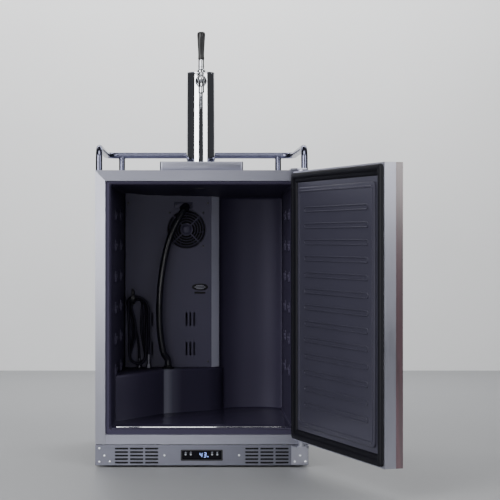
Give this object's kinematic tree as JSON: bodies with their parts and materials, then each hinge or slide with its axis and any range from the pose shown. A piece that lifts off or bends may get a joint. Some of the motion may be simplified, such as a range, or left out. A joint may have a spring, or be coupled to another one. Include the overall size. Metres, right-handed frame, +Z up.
{
  "type": "kegerator",
  "caption": "Undercounter beer dispenser with a hinged panel door standing open on a dark keg bay, a guard rail, a drip tray and a tap tower on its deck.",
  "frame": {"origin": "centre of the bounding box in plan, with the door open as stored, on the floor", "axes": "+Z up, +X to the viewer's right, the front of the cabinet faces -Y"},
  "size_m": [0.7864, 1.1814, 1.246],
  "materials": {
    "brushed_stainless": "satin",
    "black_steel": "satin",
    "zinc_steel": "satin",
    "polished_chrome": "polished",
    "dark_liner_plastic": "gloss",
    "black_plastic": "satin",
    "handle_plastic": "gloss",
    "gasket_rubber": "satin",
    "hose_rubber": "gloss",
    "rigid_foam": "matte",
    "fascia_glass": "gloss",
    "button_plastic": "gloss",
    "fin_aluminium": "satin",
    "panel_wood": "gloss"
  },
  "bodies": {
    "cabinet": {"base_pan": "zinc_steel", "side_panel_left": "black_steel", "side_panel_right": "black_steel", "top_deck": "brushed_stainless", "rear_panel": "zinc_steel", "insulation_left": "rigid_foam", "insulation_right": "rigid_foam", "insulation_top": "rigid_foam", "insulation_rear": "rigid_foam", "insulation_floor": "rigid_foam", "inner_liner": "dark_liner_plastic", "face_stile_left": "brushed_stainless", "face_stile_right": "brushed_stainless", "face_rail_top": "brushed_stainless", "face_rail_bottom": "brushed_stainless", "kick_grille": "brushed_stainless", "control_housing": "black_plastic", "control_glass": "fascia_glass", "hinge_lower": "zinc_steel", "hinge_upper": "zinc_steel", "evaporator_cover": "dark_liner_plastic", "fan_frame": "black_plastic", "evaporator_coil": "fin_aluminium", "sensor_cover": "black_plastic", "duct_elbow": "black_plastic", "cooling_hose": "hose_rubber", "hose_grommet": "black_plastic", "line_hook": "black_plastic", "gas_line": "hose_rubber", "gas_fitting": "polished_chrome", "gas_inlet": "zinc_steel", "compressor": "black_steel", "condenser": "black_steel", "power_gland": "black_plastic", "guard_rail": "brushed_stainless", "tower_column": "polished_chrome", "tower_flange": "polished_chrome", "tower_cap": "polished_chrome", "faucet_shank": "polished_chrome", "faucet_body": "polished_chrome"},
    "door": {"door_frame": "brushed_stainless", "door_core": "rigid_foam", "door_liner": "dark_liner_plastic", "door_gasket": "gasket_rubber", "overlay_panel": "panel_wood"},
    "tap_lever": {"tap_lever": "polished_chrome", "tap_handle": "handle_plastic"},
    "tap_valve": {"tap_valve": "zinc_steel"},
    "evaporator_fan": {"evaporator_fan": "black_plastic"},
    "condenser_fan": {"condenser_fan": "black_plastic"},
    "drip_tray": {"drip_tray": "brushed_stainless"},
    "drip_grille": {"drip_grille": "brushed_stainless"},
    "button_1": {"button_1": "button_plastic"},
    "button_2": {"button_2": "button_plastic"},
    "button_3": {"button_3": "button_plastic"},
    "button_4": {"button_4": "button_plastic"},
    "foot_front_left": {"foot_front_left": "black_plastic"},
    "foot_front_right": {"foot_front_right": "black_plastic"},
    "foot_rear_left": {"foot_rear_left": "black_plastic"},
    "foot_rear_right": {"foot_rear_right": "black_plastic"}
  },
  "joints": [
    {"name": "door_hinge", "type": "hinge", "parent": "cabinet", "child": "door", "pos_m": [0.18477, -0.04062, 0.456], "axis": [0, 0, 1], "range_deg": [-108, 4]},
    {"name": "tap_lever_tilt", "type": "hinge", "parent": "cabinet", "child": "tap_lever", "pos_m": [-0.09323, 0.13538, 1.116], "axis": [1, 0, 0], "range_deg": [0, 35]},
    {"name": "tap_valve_slide", "type": "slide", "parent": "cabinet", "child": "tap_valve", "axis": [0, 1, 0], "range_m": [0, 0.0075]},
    {"name": "evaporator_fan_spin", "type": "hinge", "parent": "cabinet", "child": "evaporator_fan", "pos_m": [-0.13523, 0.48238, 0.673], "axis": [0, 1, 0], "continuous": true},
    {"name": "condenser_fan_spin", "type": "hinge", "parent": "cabinet", "child": "condenser_fan", "pos_m": [-0.14823, 0.50838, 0.11], "axis": [0, 1, 0], "continuous": true},
    {"name": "drip_tray_lift", "type": "slide", "parent": "cabinet", "child": "drip_tray", "axis": [0, 0, 1], "range_m": [0, 0.06]},
    {"name": "drip_grille_lift", "type": "slide", "parent": "drip_tray", "child": "drip_grille", "axis": [0, 0, 1], "range_m": [0, 0.03]},
    {"name": "button_1_press", "type": "slide", "parent": "cabinet", "child": "button_1", "axis": [0, 1, 0], "range_m": [0, 0.0008], "stiffness_N_per_m": 300},
    {"name": "button_2_press", "type": "slide", "parent": "cabinet", "child": "button_2", "axis": [0, 1, 0], "range_m": [0, 0.0008], "stiffness_N_per_m": 300},
    {"name": "button_3_press", "type": "slide", "parent": "cabinet", "child": "button_3", "axis": [0, 1, 0], "range_m": [0, 0.0008], "stiffness_N_per_m": 300},
    {"name": "button_4_press", "type": "slide", "parent": "cabinet", "child": "button_4", "axis": [0, 1, 0], "range_m": [0, 0.0008], "stiffness_N_per_m": 300},
    {"name": "foot_front_left_screw", "type": "slide", "parent": "cabinet", "child": "foot_front_left", "axis": [0, 0, 1], "range_m": [-0.02, 0]},
    {"name": "foot_front_right_screw", "type": "slide", "parent": "cabinet", "child": "foot_front_right", "axis": [0, 0, 1], "range_m": [-0.02, 0]},
    {"name": "foot_rear_left_screw", "type": "slide", "parent": "cabinet", "child": "foot_rear_left", "axis": [0, 0, 1], "range_m": [-0.02, 0]},
    {"name": "foot_rear_right_screw", "type": "slide", "parent": "cabinet", "child": "foot_rear_right", "axis": [0, 0, 1], "range_m": [-0.02, 0]}
  ],
  "couplings": [
    {"joint": "tap_valve_slide", "follows": "tap_lever_tilt", "m_per_rad": 0.012}
  ]
}
